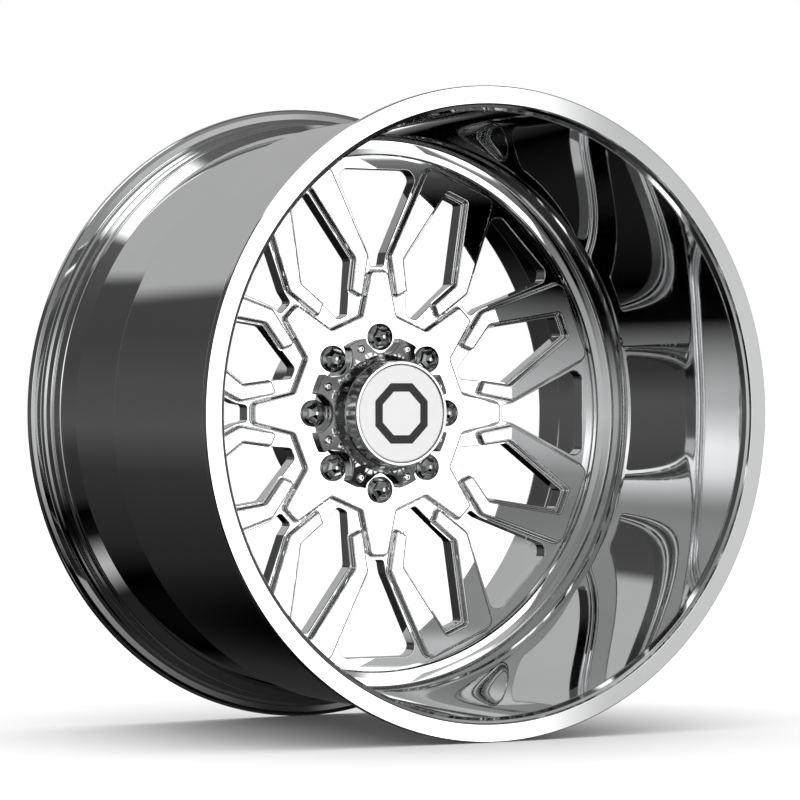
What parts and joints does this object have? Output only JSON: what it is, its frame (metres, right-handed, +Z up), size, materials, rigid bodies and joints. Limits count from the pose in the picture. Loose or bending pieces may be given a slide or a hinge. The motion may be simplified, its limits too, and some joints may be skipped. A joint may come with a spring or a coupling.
{
  "type": "polished forged truck wheel rim",
  "caption": "Deep-dished polished alloy wheel: a round drum with a hub star and petal spokes, closed lug nuts, a screwed-on hub cap and a tyre valve.",
  "frame": {"origin": "centre of the bolt circle, on the rear mounting face of the hub pad", "axes": "+Y along the wheel's axis, inboard towards the vehicle; +Z up; +X to the right as seen from the dished face, which looks along -Y"},
  "size_m": [0.6953, 0.427, 0.6954],
  "materials": {
    "barrel_alloy": "mirror-polished forged alloy",
    "centre_alloy": "mirror-polished forged alloy, edges machined crisp",
    "nut_chrome": "bright chrome plate",
    "cap_chrome": "bright chrome plate",
    "bezel_chrome": "bright chrome plate",
    "disc_white": "gloss white enamel under clear coat",
    "emblem_charcoal": "charcoal print, satin",
    "screw_steel": "stainless, turned and satin",
    "seal_rubber": "moulded black rubber",
    "grommet_rubber": "moulded black rubber",
    "washer_steel": "zinc-plated steel",
    "valve_nickel": "nickel-plated brass, turned",
    "core_brass": "turned brass",
    "spring_steel": "drawn spring wire",
    "valve_cap_plastic": "moulded black plastic with a fine grip"
  },
  "bodies": {
    "wheel": {"rim_barrel": "barrel_alloy", "wheel_centre": "centre_alloy", "cap_housing": "cap_chrome", "cap_bezel": "bezel_chrome", "cap_disc": "disc_white", "cap_emblem": "emblem_charcoal", "cap_o_ring": "seal_rubber", "cap_screws": "screw_steel", "valve_stem": "valve_nickel", "valve_grommet": "grommet_rubber", "valve_washer": "washer_steel", "valve_nut": "valve_nickel", "valve_core": "core_brass", "valve_core_spring": "spring_steel"},
    "nut_1": {"lug_nut_1": "nut_chrome"},
    "nut_2": {"lug_nut_2": "nut_chrome"},
    "nut_3": {"lug_nut_3": "nut_chrome"},
    "nut_4": {"lug_nut_4": "nut_chrome"},
    "nut_5": {"lug_nut_5": "nut_chrome"},
    "nut_6": {"lug_nut_6": "nut_chrome"},
    "nut_7": {"lug_nut_7": "nut_chrome"},
    "nut_8": {"lug_nut_8": "nut_chrome"},
    "valve_cap_body": {"valve_cap": "valve_cap_plastic", "valve_cap_seal": "seal_rubber"},
    "valve_pin": {"valve_core_pin": "core_brass"}
  },
  "joints": [
    {"name": "nut_1_draw", "type": "slide", "parent": "wheel", "child": "nut_1", "axis": [0, -1, 0], "range_m": [0, 0.035]},
    {"name": "nut_2_draw", "type": "slide", "parent": "wheel", "child": "nut_2", "axis": [0, -1, 0], "range_m": [0, 0.035]},
    {"name": "nut_3_draw", "type": "slide", "parent": "wheel", "child": "nut_3", "axis": [0, -1, 0], "range_m": [0, 0.035]},
    {"name": "nut_4_draw", "type": "slide", "parent": "wheel", "child": "nut_4", "axis": [0, -1, 0], "range_m": [0, 0.035]},
    {"name": "nut_5_draw", "type": "slide", "parent": "wheel", "child": "nut_5", "axis": [0, -1, 0], "range_m": [0, 0.035]},
    {"name": "nut_6_draw", "type": "slide", "parent": "wheel", "child": "nut_6", "axis": [0, -1, 0], "range_m": [0, 0.035]},
    {"name": "nut_7_draw", "type": "slide", "parent": "wheel", "child": "nut_7", "axis": [0, -1, 0], "range_m": [0, 0.035]},
    {"name": "nut_8_draw", "type": "slide", "parent": "wheel", "child": "nut_8", "axis": [0, -1, 0], "range_m": [0, 0.035]},
    {"name": "valve_cap_draw", "type": "slide", "parent": "wheel", "child": "valve_cap_body", "axis": [-0.866, 0, -0.5], "range_m": [0, 0.02]},
    {"name": "valve_pin_press", "type": "slide", "parent": "wheel", "child": "valve_pin", "axis": [0.866, 0, 0.5], "range_m": [0, 0.0015], "stiffness_N_per_m": 300, "springref_m": -0.001}
  ]
}
